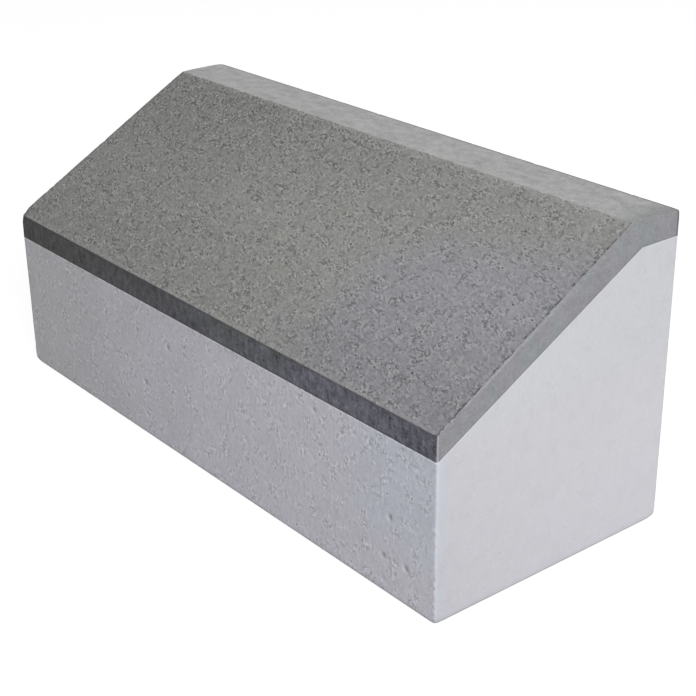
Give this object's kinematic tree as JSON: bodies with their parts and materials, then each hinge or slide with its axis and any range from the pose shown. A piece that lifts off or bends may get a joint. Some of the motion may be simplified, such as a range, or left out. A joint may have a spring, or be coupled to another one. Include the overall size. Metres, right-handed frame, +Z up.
{
  "type": "concrete kerb stone",
  "caption": "Concrete road kerb block with a long sloping top and a narrow flat crest, in light core concrete under a darker facing layer.",
  "frame": {"origin": "middle of the bed, the flat underside that the kerb is laid on", "axes": "+X along the kerb, +Y from the low road side to the high back, +Z up"},
  "size_m": [0.5, 0.2, 0.22],
  "materials": {
    "core_concrete": "light grey cast concrete, smooth from the mould, with fine pits and faint streaks",
    "facing_layer": "dark grey facing concrete, speckled and slightly rough on the slope, smoother on the crest"
  },
  "bodies": {
    "root": {"core_concrete": "core_concrete", "facing_layer": "facing_layer"}
  },
  "joints": []
}
